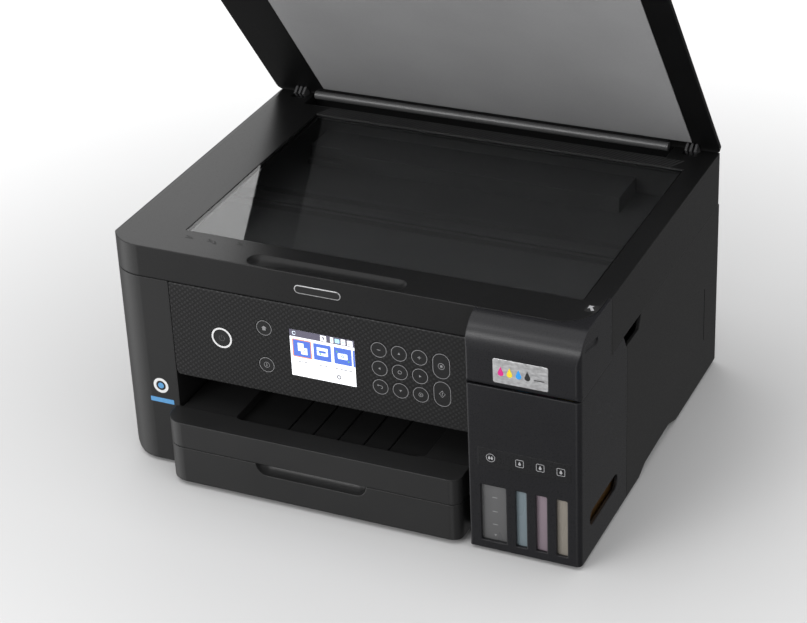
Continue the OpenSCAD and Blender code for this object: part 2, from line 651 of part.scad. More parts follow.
module scanner_top() color([0.15, 0.15, 0.16])
    difference() {
        union() {
            difference() {
                translate([0, 0, z_skirt]) linear_extrude(skirt_h) scanner_outline(0, y_back);
                // hollow under the top
                translate([0, 0, z_skirt - 1]) linear_extrude(skirt_h - 2)
                    scanner_outline(wall, y_back - wall);
            }
            // flange that carries the glass
            slab(x_glass - 4, x_glass + glass_w + 4, y_glass - 4, y_glass + glass_d + 4,
                z_rim - glass_t - 2.5, z_rim - 3 + eps);
            // thick edge under the finger scoop
            slab(scoop_x - 66, scoop_x + 66, y_face + wall - eps, y_face + 22,
                z_rim - 12, z_rim - 3 + eps);
            // walls of the trough for the lid's hinge roll
            slab(x_glass - 18 - wall, x_right - 36 + wall, trough_y0 - wall, y_back - eps,
                lid_z - 7 - wall, z_rim - 3 + eps);
            // bosses of the lid's hinge pins
            for (x = lid_bracket_x, s = [-1, 1])
                slab(x + s * 8.5 - 2.5, x + s * 8.5 + 2.5, lid_y - 5, y_back - eps,
                    lid_z - 5, z_rim - 3 + eps);
        }
        // short skirt in front, long skirt along the sides
        slab(x_left - 1, x_right + 1, y_face - 1, y_step, z_skirt - 1, z_band);
        // scanning window
        slab(x_glass, x_glass + glass_w, y_glass, y_glass + glass_d,
            z_rim - glass_t - 0.3, z_rim + 1);
        slab(x_glass + 2, x_glass + glass_w - 2, y_glass + 2, y_glass + glass_d - 2,
            z_rim - 12, z_rim + 1);
        // rounded top edge at the back, about the lid's hinge
        along_x(x_left - 1, x_right + 1) translate([y_back, z_rim]) rotate(180) corner_waste(1.5);
        // roll-off along the left edge
        along_y(y_face - 1, y_back + 1)
            translate([x_left, z_rim]) rotate(270) corner_waste(7);
        // finger scoop in the front edge, a dish with round ends
        x_rod(scoop_x - 53, scoop_x + 53, y_face + 9.5, z_rim + 11.5, 14);
        for (s = [-1, 1]) translate([scoop_x + s * 53, y_face + 9.5, z_rim + 11.5]) sphere(14);
        // trough for the lid's hinge roll
        slab(x_glass - 18, x_right - 36, trough_y0, y_back - 1.5, lid_z - 7, z_rim + 1);
        // sockets of the lid's hinge brackets
        for (x = lid_bracket_x) slab(x - 6, x + 6, lid_y - 10.5, y_back + 1, lid_z - 5.4, z_rim + 1);
        for (x = lid_bracket_x) x_rod(x - 12, x + 12, lid_y, lid_z, pin_r + fit);
        // rounded lower back corner, about the lift hinge
        for (x = [x_left - 1, x_right - 4]) along_x(x, x + 5)
            translate([y_back, z_skirt]) rotate(90) corner_waste(5.7);
        slab(x_left + 4, x_right - 4, y_back - wall - 1, y_back + 1, z_skirt - 1, lift_z + 6);
    }
lid_bracket_x = [x_left + 24, x_right - 21];
scoop_x = x_pillar + 123;

module scanner_bed() color([0.07, 0.07, 0.08]) {
    t = 2;
    x0 = x_left + wall + 0.4;
    x1 = x_right - wall - 3.6;
    y0 = y_face + 25.5;
    y1 = trough_y0 - wall - seam;
    difference() {
        translate([0, 0, z_bed]) linear_extrude(z_rim - z_bed - 3)
            rect4(x0, x1, y0, y1, [10, 6, 2, 2]);
        translate([0, 0, z_bed + t]) linear_extrude(body_h)
            rect4(x0 + t, x1 - t, y0 + t, y1 - t, [10 - t, 6 - t, 1, 1]);
    }
    // shelf along the back and the rails of the scan bar
    difference() {
        slab(x_glass + 4, x_right - 58, y1 - 39, y1 - t + eps, z_bed + t - eps, z_bed + 15);
        slab(x_glass + 3, x_glass + 34, y1 - 40, y1 - 31, z_bed + t + 4, z_bed + 16);
    }
    for (y = [y_glass + 106, y_glass + 112, y_glass + 132])
        slab(x0 + t - eps, x1 - t + eps, y, y + 3, z_bed + t - eps, z_bed + 6);
    // lugs and pins of the lift hinge
    for (x = [x_pillar + 12.5, x_tank - 18.5]) {
        slab(x, x + 6, y1 - 1, y_back - wall - seam, lift_z - 1, z_bed + 12);
        x_rod(x, x + 6, lift_y, lift_z, 4);
    }
    x_rod(x_pillar + 2, x_pillar + 13, lift_y, lift_z, 2);
    x_rod(x_tank - 13, x_tank - 3, lift_y, lift_z, 2);
}

module platen_glass() color([0.2, 0.22, 0.24, 0.4])
    slab(x_glass + 0.2, x_glass + glass_w - 0.2, y_glass + 0.2, y_glass + glass_d - 0.2,
        z_rim - glass_t - 0.3, z_rim - 0.3);

// Contact image sensor, parked under the left edge of the window
module scan_bar() color([0.1, 0.1, 0.1]) {
    slab(x_left + 16, x_left + 34, y_glass + 2, y_glass + glass_d - 2, z_bed + 16, z_bed + 23);
    slab(x_left + 19, x_left + 31, y_glass + 100, y_glass + 122, z_bed + 6.1, z_bed + 16.1);
}

// ---- Lid, drawn closed and turned open about its hinge ----

module opened() translate([0, lid_y, lid_z]) rotate([-lid_open, 0, 0])
    translate([0, -lid_y, -lid_z]) children();

z_lid = z_rim + lid_gap;
mat_x0 = x_glass - 8;
mat_x1 = x_glass + glass_w - 4;
mat_y0 = y_glass - 4;
mat_y1 = barrel_y - barrel_r - 1.2;

module lid_shell() color([0.12, 0.12, 0.13]) opened()
    difference() {
        union() {
            translate([0, 0, z_lid]) linear_extrude(lid_t) scanner_outline(0, y_back);
            // roll in front of the hinge
            x_rod(x_glass - 15, x_right - 39, barrel_y, lid_z, barrel_r);
            slab(x_glass - 15, x_right - 39, barrel_y - 1.6, barrel_y + 1.6, lid_z, z_lid + 1);
        }
        // rounded back corners
        translate([0, 0, z_lid - 1]) linear_extrude(lid_t + 2) {
            translate([x_right, y_back]) rotate(180) corner_waste(8);
            translate([x_left, y_back]) rotate(270) corner_waste(8);
        }
        // pocket of the mat
        slab(mat_x0 - 0.1, mat_x1 + 0.1, mat_y0 - 0.1, mat_y1 + 0.1, z_lid - 1, z_lid + 1.4);
    }

module lid_mat() color([0.42, 0.42, 0.43]) opened()
    slab(mat_x0, mat_x1, mat_y0, mat_y1, z_lid - 0.5, z_lid + 1.4);

// Hinge brackets: ribbed blocks with a pin through the rim
module lid_hinges() color([0.3, 0.3, 0.31]) opened()
    for (x = lid_bracket_x) {
        for (i = [-1:1])
            slab(x + i * 3.6 - 0.9, x + i * 3.6 + 0.9, lid_y - 9, lid_y + 1.8,
                lid_z - 2.4, z_lid);
        slab(x - 4.5, x + 4.5, lid_y - 1.2, lid_y + 1.8, lid_z - 2.4, z_lid);
        x_rod(x - 9, x + 9, lid_y, lid_z, pin_r);
    }

// ---- Control panel ----

panel_x0 = x_pillar + seam;
panel_x1 = x_tank - seam;
pad_xs = [for (i = [0:2]) pad_x + i * key_pitch];
pad_zs = [for (j = [0:2]) pad_z + (2 - j) * key_pitch * 0.97];
round_keys = [[power_x, power_z, power_d], [side_key_x, power_z + 15, key_d],
    [side_key_x, power_z - 15.2, key_d]];
tall_keys = [pad_zs[0] - 3.6, pad_zs[2] + 4];

module key_hole(x, z, d) y_rod(x, y_face - 1, y_face + 9, z, d / 2 + 0.25);

module tall_outline(z, grow)
    rect4(tall_key_x - tall_key_w / 2 - grow, tall_key_x + tall_key_w / 2 + grow,
        z - tall_key_h / 2 - grow, z + tall_key_h / 2 + grow,
        [for (i = [0:3]) tall_key_w / 2 - 0.1 + grow]);

module control_panel() color([0.14, 0.14, 0.15])
    difference() {
        union() {
            difference() {
                // front shell with a rounded top edge and lower left corner
                intersection() {
                    along_y(y_face, y_face + panel_t)
                        rect4(panel_x0, panel_x1, z_panel, z_panel_top, [4.5, 0.4, 0.4, 0.4]);
                    along_x(panel_x0, panel_x1)
                        rect4(y_face, y_face + panel_t, z_panel, z_panel_top, [0.8, 0, 0, 1.5]);
                }
                slab(panel_x0 + 2, panel_x1 - 2, y_face + 2.2, y_face + panel_t + 1,
                    z_panel + 2, z_panel_top - 2);
            }
            // hinge pins between ribs
            for (x = [x_pillar + 12, x_tank - 16]) {
                for (r = [x - 2.4, x + 4.4])
                    slab(r, r + 2, y_face + 2, y_face + panel_t - 3, panel_z - 4, panel_z + 4);
                x_rod(x - 1, x + 5, panel_y, panel_z, pin_r);
            }
            // guides of the keys
            for (k = round_keys) y_rod(k[0], y_face + 2, y_face + 5.4, k[1], k[2] / 2 + 1.2);
        }
        for (k = round_keys) key_hole(k[0], k[1], k[2]);
        for (x = pad_xs, z = pad_zs) key_hole(x, z, key_d);
        for (z = tall_keys) along_y(y_face - 1, y_face + 9) tall_outline(z, 0.25);
        along_y(y_face - 1, y_face + 3)
            rect4(screen_x - 0.2, screen_x + screen_w + 0.2, screen_z - 0.2,
                screen_z + screen_h + 0.2, [0.5, 0.5, 0.5, 0.5]);
    }

module screen() color([0.75, 0.78, 0.82]) {
    slab(screen_x, screen_x + screen_w, y_face + 0.3, y_face + 2.4, screen_z, screen_z + screen_h);
    slab(screen_x - 3, screen_x + screen_w + 3, y_face + 2.3, y_face + 5.4, screen_z - 3,
        screen_z + screen_h + 3);
}

// A key: a cap flush with the panel and a stem that reaches the switch
module round_key(x, z, d) {
    y_rod(x, y_face, y_face + 6, z, d / 2);
    y_rod(x, y_face + 5.9, y_face + 8.5, z, 1.5);
}

module tall_key(z) {
    along_y(y_face, y_face + 6) tall_outline(z, 0);
    y_rod(tall_key_x, y_face + 5.9, y_face + 8.5, z, 1.5);
}

module pad_key(i) round_key(pad_xs[i % 3], pad_zs[floor(i / 3)], key_d);

module power_key() color([0.16, 0.16, 0.17]) round_key(power_x, power_z, power_d);
module home_key() color([0.16, 0.16, 0.17]) round_key(side_key_x, power_z + 15, key_d);
module help_key() color([0.16, 0.16, 0.17]) round_key(side_key_x, power_z - 15.2, key_d);
module key_1() color([0.16, 0.16, 0.17]) pad_key(0);
module key_2() color([0.16, 0.16, 0.17]) pad_key(1);
module key_3() color([0.16, 0.16, 0.17]) pad_key(2);
module key_4() color([0.16, 0.16, 0.17]) pad_key(3);
module key_5() color([0.16, 0.16, 0.17]) pad_key(4);
module key_6() color([0.16, 0.16, 0.17]) pad_key(5);
module key_7() color([0.16, 0.16, 0.17]) pad_key(6);
module key_8() color([0.16, 0.16, 0.17]) pad_key(7);
module key_9() color([0.16, 0.16, 0.17]) pad_key(8);
module stop_key() color([0.16, 0.16, 0.17]) tall_key(tall_keys[0]);
module start_key() color([0.16, 0.16, 0.17]) tall_key(tall_keys[1]);

// ---- Paper path ----

x_tray = x_pillar - 2.4;
x_tray_end = x_tray + fascia_w;
y_tray = -body_d / 2;
inner_x0 = x_pillar + 2;
inner_x1 = min(x_tray_end - 1, x_tank - 5);
hollow_x = mid_x - hollow_w / 2 + 2;
grip_x = mid_x - 3;

// Front block of the tray or the cassette, with rounded corners
module fascia(z0, z1)
    block4(x_tray, x_tray_end, y_tray, y_face - slip, z0, z1, [15, 8, 0.5, 3]);

module output_tray() color([0.14, 0.14, 0.15])
    difference() {
        union() {
            fascia(z_tray, z_tray_top);
            slab(inner_x0, inner_x1, y_face - slip - eps, y_face + 130, z_tray + 1, z_tray_top - 1);
        }
        // hollow in which the prints stack
        block4(hollow_x, hollow_x + hollow_w, y_tray + 20, y_face + 118,
            z_tray_top - hollow_depth, body_h, [6, 8, 3, 3]);
        // grooves along the paper's way
        for (i = [0:groove_count - 1])
            slab(mid_x + 5 + (i - (groove_count - 1) / 2) * groove_pitch - 0.8,
                mid_x + 5 + (i - (groove_count - 1) / 2) * groove_pitch + 0.8,
                y_tray + 22, y_face + 110, z_tray_top - hollow_depth - 1.2, body_h);
        // weight relief underneath
        slab(inner_x0 + 3, inner_x1 - 3, y_face + 6, y_face + 124, z_tray - 1, z_tray + 6);
    }

module cassette_drawer() color([0.13, 0.13, 0.14])
    difference() {
        union() {
            fascia(tray_z, tray_z + drawer_h);
            slab(cassette_x0, inner_x1 - 1, y_face - slip - eps, y_back + 14,
                cassette_z, tray_z + drawer_h - 1);
        }
        // well of the paper
        slab(cassette_x0 + 2, inner_x1 - 3, y_tray + 17, y_back + 12, cassette_z + 2, body_h);
        // finger grip under the tray's front
        x_rod(grip_x - grip_w / 2 + 9, grip_x + grip_w / 2 - 9, y_tray - 1, tray_z + drawer_h, 9);
        for (s = [-1, 1])
            translate([grip_x + s * (grip_w / 2 - 9), y_tray - 1, tray_z + drawer_h]) sphere(9);
        // tracks of the paper guides
        for (y = guide_track_y)
            slab(mid_x - 112, mid_x + 107, y, y + 6, cassette_z + 1, cassette_z + 3);
    }
cassette_x0 = rear_x0 + wall + 0.6;
cassette_z = z_case + wall + 0.5;
guide_track_y = [y_face + 40, y_face + 128];
paper_w = 210;

// Guide that slides along the tracks; side is -1 on the left and 1 on the right
module paper_guide(side) {
    x = mid_x - 3 + side * (paper_w / 2 + 0.5);
    slab(min(x, x + side * 1.6), max(x, x + side * 1.6), y_face + 30, y_face + 150,
        cassette_z + 2.3, tray_z + drawer_h - 4);
    for (y = guide_track_y)
        slab(min(x, x - side * 30), max(x, x - side * 30), y + 0.5, y + 5.5,
            cassette_z + 1.3, cassette_z + 2.5);
}

module paper_guide_left() color([0.2, 0.2, 0.21]) paper_guide(-1);
module paper_guide_right() color([0.2, 0.2, 0.21]) paper_guide(1);

module feed_roller() color([0.25, 0.25, 0.26]) {
    x_rod(x_mech_l - 0.8, x_mech_r + 0.8, feed_y, feed_z, 4);
    x_rod(x_mech_l + plate_t + 3, x_mech_r - plate_t - 3, feed_y, feed_z, feed_r);
}

module exit_roller() color([0.25, 0.25, 0.26]) {
    x_rod(x_mech_l - 0.8, x_mech_r + 0.8, exit_y, exit_z, 3);
    for (i = [0:5]) {
        x = x_mech_l + 22 + i * (x_mech_r - x_mech_l - 44) / 5;
        x_rod(x - 5, x + 5, exit_y, exit_z, feed_r);
    }
}

module pickup_roller() color([0.2, 0.2, 0.2]) {
    x_rod(x_pillar - wall, x_tank + wall, pickup_y, pickup_z, 3);
    for (s = [-1, 1]) x_rod(mid_x + s * 14 - 8, mid_x + s * 14 + 8, pickup_y, pickup_z, pickup_r);
}

module rear_profile(t)
    difference() {
        translate([y_back + slip - 3 * t, z_case + t])
            square([rear_out - slip + 2 * t, rear_z1 - z_case - 2 * t]);
        translate([y_back + rear_out - t, rear_z1 - t]) rotate(180) corner_waste(24 - t);
    }

module rear_cover() color([0.12, 0.12, 0.13]) {
    // latch tongues that reach through the case's back wall
    for (s = [1, -1]) {
        x = s > 0 ? rear_x0 + wall : rear_x1 - wall;
        for (p = [[0.3, -7, 9], [-0.5, slip + 2, 9]])
            slab(min(x + s * p[0], x + s * 2.3), max(x + s * p[0], x + s * 2.3),
                y_back + p[1], y_back + p[2], z_case + 62, z_case + 76);
    }
    rear_shell();
}

module rear_shell()
    difference() {
        along_x(rear_x0, rear_x1) rear_profile(0);
        along_x(rear_x0 + wall, rear_x1 - wall) rear_profile(wall);
        // finger grips of the latches
        for (x = [rear_x0, rear_x1]) translate([x, y_back + 22, z_case + 80])
            slab(-1.2, 1.2, -9, 9, -7, 7);
        // vent slots
        for (i = [0:5])
            slab(mid_x - 60, mid_x + 60, y_back + rear_out - wall - 1, y_back + rear_out + 1,
                z_case + 24 + i * 7, z_case + 26.5 + i * 7);
    }

lower_case();
left_cover();
right_cover();
tank_housing();
ink_tank_black();
ink_tank_cyan();
ink_tank_magenta();
ink_tank_yellow();
upper_frame();
metal_frame();
platen();
timing_belt();
encoder_strip();
carriage_motor();
feed_motor();
cap_station();
maintenance_box();
power_supply();
main_board();
ac_inlet();
ink_tubes();
rubber_feet();
case_screws();
scanner_top();
scanner_bed();
platen_glass();
scan_bar();
lid_shell();
lid_mat();
lid_hinges();
tank_cover();
ink_cap_black();
ink_cap_cyan();
ink_cap_magenta();
ink_cap_yellow();
control_panel();
screen();
power_key();
home_key();
help_key();
key_1();
key_2();
key_3();
key_4();
key_5();
key_6();
key_7();
key_8();
key_9();
stop_key();
start_key();
output_tray();
cassette_drawer();
paper_guide_left();
paper_guide_right();
print_carriage();
feed_roller();
exit_roller();
pickup_roller();
rear_cover();
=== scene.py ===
"""Looks of an ink-tank printer with a flatbed scanner: its materials, the marks printed
on it, the picture on its screen, the light and the camera. Lengths are millimetres,
except in the stage's lights, floor and camera distance, which are metres."""

import math

import bmesh
import bpy
from mathutils import Matrix, Vector


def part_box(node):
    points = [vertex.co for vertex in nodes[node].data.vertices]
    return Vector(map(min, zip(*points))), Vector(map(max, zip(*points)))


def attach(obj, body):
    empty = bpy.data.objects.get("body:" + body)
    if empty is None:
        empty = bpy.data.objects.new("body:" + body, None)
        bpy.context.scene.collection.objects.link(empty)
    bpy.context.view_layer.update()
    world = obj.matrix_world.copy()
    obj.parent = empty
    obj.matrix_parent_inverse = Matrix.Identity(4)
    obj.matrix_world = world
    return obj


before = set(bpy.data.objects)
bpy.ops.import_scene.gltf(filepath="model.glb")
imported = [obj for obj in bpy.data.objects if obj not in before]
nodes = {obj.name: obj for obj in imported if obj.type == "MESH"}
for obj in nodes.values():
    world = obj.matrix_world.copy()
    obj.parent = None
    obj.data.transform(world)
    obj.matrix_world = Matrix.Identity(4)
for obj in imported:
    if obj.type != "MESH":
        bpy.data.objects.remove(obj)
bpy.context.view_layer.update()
MM = 0.001


def extent(node):
    """Lowest and highest corner of a CAD node, in millimetres."""
    low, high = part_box(node)
    return low / MM, high / MM


# ---- Node helpers ----


def start_material(name):
    """An empty material: (material, node tree, Principled shader, object coordinates)."""
    made = bpy.data.materials.new(name)
    made.use_nodes = True
    tree = made.node_tree
    tree.nodes.clear()
    output = tree.nodes.new("ShaderNodeOutputMaterial")
    shader = tree.nodes.new("ShaderNodeBsdfPrincipled")
    tree.links.new(shader.outputs["BSDF"], output.inputs["Surface"])
    coords = tree.nodes.new("ShaderNodeTexCoord").outputs["Object"]
    return made, tree, shader, coords


def noise(tree, coords, scale, detail=2.0, stretch=None):
    """Noise of that many cells per metre; stretch scales it along each axis."""
    if stretch:
        mapping = tree.nodes.new("ShaderNodeMapping")
        mapping.inputs["Scale"].default_value = stretch
        tree.links.new(coords, mapping.inputs["Vector"])
        coords = mapping.outputs["Vector"]
    made = tree.nodes.new("ShaderNodeTexNoise")
    made.inputs["Scale"].default_value = scale
    made.inputs["Detail"].default_value = detail
    tree.links.new(coords, made.inputs["Vector"])
    return made.outputs["Fac"]


def ramp(tree, factor, low, high, start=0.3, end=0.7):
    """A colour that goes from low to high with the factor."""
    made = tree.nodes.new("ShaderNodeValToRGB")
    made.color_ramp.elements[0].position = start
    made.color_ramp.elements[1].position = end
    made.color_ramp.elements[0].color = (*low, 1)
    made.color_ramp.elements[1].color = (*high, 1)
    tree.links.new(factor, made.inputs["Fac"])
    return made.outputs["Color"]


def spread(tree, factor, low, high):
    """The factor from 0.3 to 0.7 mapped to low..high."""
    made = tree.nodes.new("ShaderNodeMapRange")
    made.inputs["From Min"].default_value = 0.3
    made.inputs["From Max"].default_value = 0.7
    made.inputs["To Min"].default_value = low
    made.inputs["To Max"].default_value = high
    tree.links.new(factor, made.inputs["Value"])
    return made.outputs["Result"]


def math_node(tree, operation, first, second):
    """A Math node on two sockets or numbers."""
    made = tree.nodes.new("ShaderNodeMath")
    made.operation = operation
    for socket, value in zip(made.inputs, (first, second)):
        if isinstance(value, (int, float)):
            socket.default_value = value
        else:
            tree.links.new(value, socket)
    return made.outputs["Value"]


def bumped(tree, shader, height, depth, rounding):
    """Edges rounded by rounding mm, with the height texture depth mm deep on them."""
    bevel = tree.nodes.new("ShaderNodeBevel")
    bevel.samples = 6
    bevel.inputs["Radius"].default_value = rounding * MM
    bump = tree.nodes.new("ShaderNodeBump")
    bump.inputs["Strength"].default_value = 1.0
    bump.inputs["Distance"].default_value = depth * MM
    tree.links.new(height, bump.inputs["Height"])
    tree.links.new(bevel.outputs["Normal"], bump.inputs["Normal"])
    tree.links.new(bump.outputs["Normal"], shader.inputs["Normal"])


def shade(colour, amount):
    """The colour made darker or lighter by a factor."""
    return tuple(min(1.0, c * amount) for c in colour)


# ---- Kinds of material ----


def plastic(name, colour, rough=0.42, grain=1400, depth=0.01, vary=0.1, rounding=0.5,
            specular=0.3, coat=0.0):
    """Moulded plastic with a fine grain."""
    made, tree, shader, coords = start_material(name)
    fine = noise(tree, coords, grain)
    broad = noise(tree, coords, 14, 3)
    tone = ramp(tree, broad, shade(colour, 1 - vary), shade(colour, 1 + vary))
    tree.links.new(tone, shader.inputs["Base Color"])
    tree.links.new(spread(tree, fine, rough - 0.05, rough + 0.05), shader.inputs["Roughness"])
    shader.inputs["Specular IOR Level"].default_value = specular
    shader.inputs["Coat Weight"].default_value = coat
    shader.inputs["Coat Roughness"].default_value = 0.15
    bumped(tree, shader, fine, depth, rounding)
    return made


def woven_plastic(name, low, high, pitch, rounding):
    """Plastic with a fine diagonal weave, its two directions pitch mm apart."""
    made, tree, shader, coords = start_material(name)
    bands = []
    for angle in (38, -52):
        turn = tree.nodes.new("ShaderNodeMapping")
        turn.inputs["Rotation"].default_value = (0, math.radians(angle), 0)
        tree.links.new(coords, turn.inputs["Vector"])
        wave = tree.nodes.new("ShaderNodeTexWave")
        wave.inputs["Scale"].default_value = math.pi / 10 / (pitch * MM)
        wave.inputs["Distortion"].default_value = 0.6
        wave.inputs["Detail"].default_value = 1.0
        tree.links.new(turn.outputs["Vector"], wave.inputs["Vector"])
        bands.append(wave.outputs["Fac"])
    weave = math_node(tree, "MULTIPLY", *bands)
    grain = noise(tree, coords, 900)
    height = math_node(tree, "ADD", weave, math_node(tree, "MULTIPLY", grain, 0.4))
    tree.links.new(ramp(tree, weave, low, high, 0.0, 0.8), shader.inputs["Base Color"])
    tree.links.new(spread(tree, weave, 0.5, 0.36), shader.inputs["Roughness"])
    shader.inputs["Specular IOR Level"].default_value = 0.28
    bumped(tree, shader, height, 0.035, rounding)
    return made


def metal(name, colour, rough, along=(1, 1, 1)):
    """Metal with fine brushing, drawn out along one axis."""
    made, tree, shader, coords = start_material(name)
    lines = noise(tree, coords, 700, 3, along)
    tone = ramp(tree, lines, shade(colour, 0.88), shade(colour, 1.08))
    tree.links.new(tone, shader.inputs["Base Color"])
    shader.inputs["Metallic"].default_value = 1.0
    tree.links.new(spread(tree, lines, rough - 0.06, rough + 0.08), shader.inputs["Roughness"])
    bumped(tree, shader, lines, 0.01, 0.3)
    return made


def ink_plastic(name, colour, rough=0.3):
    """The milky wall of a tank with the tone of its ink behind it, darker towards the bottom."""
    made, tree, shader, coords = start_material(name)
    cloud = noise(tree, coords, 60, 3, (1, 1, 0.3))
    split = tree.nodes.new("ShaderNodeSeparateXYZ")
    tree.links.new(coords, split.inputs["Vector"])
    height = math_node(tree, "MULTIPLY", split.outputs["Z"], 6.0)
    level = math_node(tree, "ADD", height, math_node(tree, "MULTIPLY", cloud, 0.5))
    tone = ramp(tree, level, shade(colour, 0.84), shade(colour, 1.12), 0.2, 0.75)
    tree.links.new(tone, shader.inputs["Base Color"])
    tree.links.new(spread(tree, cloud, rough - 0.05, rough + 0.1), shader.inputs["Roughness"])
    shader.inputs["Coat Weight"].default_value = 0.3
    shader.inputs["Coat Roughness"].default_value = 0.2
    bumped(tree, shader, cloud, 0.02, 0.4)
    return made


def clear_glass(name, tint):
    """Float glass that lets lamps through to what lies under it."""
    made, tree, shader, coords = start_material(name)
    smears = noise(tree, coords, 22, 4, (1, 3, 1))
    tree.links.new(spread(tree, smears, 0.0, 0.03), shader.inputs["Roughness"])
    tree.links.new(ramp(tree, smears, shade(tint, 0.97), tint), shader.inputs["Base Color"])
    shader.inputs["Transmission Weight"].default_value = 1.0
    shader.inputs["IOR"].default_value = 1.4
    clear = tree.nodes.new("ShaderNodeBsdfTransparent")
    clear.inputs["Color"].default_value = (*shade(tint, 0.92), 1)
    mix = tree.nodes.new("ShaderNodeMixShader")
    path = tree.nodes.new("ShaderNodeLightPath")
    tree.links.new(path.outputs["Is Shadow Ray"], mix.inputs["Fac"])
    tree.links.new(shader.outputs["BSDF"], mix.inputs[1])
    tree.links.new(clear.outputs["BSDF"], mix.inputs[2])
    output = next(n for n in tree.nodes if n.type == "OUTPUT_MATERIAL")
    tree.links.new(mix.outputs["Shader"], output.inputs["Surface"])
    return made


def dim_in_mirrors(material, amount):
    """Paints shade on a pale surface where glossy covers mirror it: its colour is darkened for
    glossy rays only, so the dark gloss that mirrors it stays dark.
    """
    tree = material.node_tree
    shader = next(n for n in tree.nodes if n.type == "BSDF_PRINCIPLED")
    tone = shader.inputs["Base Color"].links[0].from_socket
    path = tree.nodes.new("ShaderNodeLightPath")
    level = tree.nodes.new("ShaderNodeMapRange")
    level.inputs["To Min"].default_value = 1.0
    level.inputs["To Max"].default_value = amount
    tree.links.new(path.outputs["Is Glossy Ray"], level.inputs["Value"])
    scaled = tree.nodes.new("ShaderNodeVectorMath")
    scaled.operation = "SCALE"
    tree.links.new(tone, scaled.inputs[0])
    tree.links.new(level.outputs["Result"], scaled.inputs["Scale"])
    tree.links.new(scaled.outputs["Vector"], shader.inputs["Base Color"])


def printed(name, colour, rough=0.45):
    """A thin layer of printed ink, slightly uneven."""
    made, tree, shader, coords = start_material(name)
    speckle = noise(tree, coords, 2500)
    tone = ramp(tree, speckle, shade(colour, 0.92), shade(colour, 1.08))
    tree.links.new(tone, shader.inputs["Base Color"])
    tree.links.new(spread(tree, speckle, rough - 0.05, rough + 0.05), shader.inputs["Roughness"])
    bumped(tree, shader, speckle, 0.004, 0.05)
    return made


def lit(name, colour, strength=0.75):
    """A patch of a lit colour screen, with its faint grid of dots."""
    made, tree, shader, coords = start_material(name)
    checker = tree.nodes.new("ShaderNodeTexChecker")
    checker.inputs["Scale"].default_value = 6000
    checker.inputs["Color1"].default_value = (*colour, 1)
    checker.inputs["Color2"].default_value = (*shade(colour, 0.93), 1)
    tree.links.new(coords, checker.inputs["Vector"])
    tree.links.new(checker.outputs["Color"], shader.inputs["Base Color"])
    tree.links.new(checker.outputs["Color"], shader.inputs["Emission Color"])
    shader.inputs["Emission Strength"].default_value = strength
    shader.inputs["Roughness"].default_value = 0.2
    return made


# ---- The materials of the CAD nodes ----

case_black = plastic("case_black", (0.012, 0.012, 0.0122), 0.38, vary=0.08, rounding=0.9)
rim_black = plastic("rim_black", (0.008, 0.008, 0.0082), 0.32, rounding=1.2, specular=0.25)
lid_black = plastic("lid_black", (0.005, 0.005, 0.0052), 0.45, rounding=0.7, specular=0.1)
tank_black = plastic("tank_black", (0.0105, 0.0105, 0.012), 0.3, 1800, rounding=1.2)
tray_black = plastic("tray_black", (0.016, 0.016, 0.0162), 0.36, 1300, rounding=1.0)
inner_black = plastic("inner_black", (0.03, 0.03, 0.0305), 0.48, 900, rounding=0.4)
bed_black = plastic("bed_black", (0.05, 0.05, 0.051), 0.5, 800, 0.02, rounding=0.5)
key_black = plastic("key_black", (0.010, 0.010, 0.0105), 0.38, 1500, 0.008, rounding=0.3)
rubber = plastic("rubber", (0.012, 0.012, 0.012), 0.75, 700, 0.05)
roller_rubber = plastic("roller_rubber", (0.05, 0.05, 0.052), 0.7, 1200, 0.05)
mat_grey = plastic("mat_grey", (0.27, 0.27, 0.274), 0.42, 700, vary=0.05)
# painted shade: the mat's colour is darkened where the glass and glossy covers mirror it
dim_in_mirrors(mat_grey, 0.3)
hinge_grey = plastic("hinge_grey", (0.07, 0.07, 0.072), 0.4, 1300, 0.02)
board_green = plastic("board_green", (0.02, 0.11, 0.05), 0.35, 500, 0.05, coat=0.4)
panel_black = woven_plastic("panel_black", (0.003, 0.003, 0.0032), (0.018, 0.018, 0.0185), 3.0, 0.5)
steel = metal("steel", (0.55, 0.56, 0.58), 0.3, (0.06, 1, 1))
motor_steel = metal("motor_steel", (0.42, 0.42, 0.44), 0.34, (1, 1, 0.1))
badge_silver = metal("badge_silver", (0.78, 0.78, 0.79), 0.34, (0.5, 1, 1))
name_silver = metal("name_silver", (0.6, 0.6, 0.61), 0.36, (0.5, 1, 1))
copper = metal("copper", (0.30, 0.16, 0.05), 0.4)
film = plastic("film", (0.3, 0.3, 0.31), 0.2, 400, 0.01, coat=0.5)
glass = clear_glass("glass", (0.72, 0.73, 0.73))
screen_black = plastic("screen_black", (0.01, 0.01, 0.011), 0.2, 600, 0.002, coat=0.6)

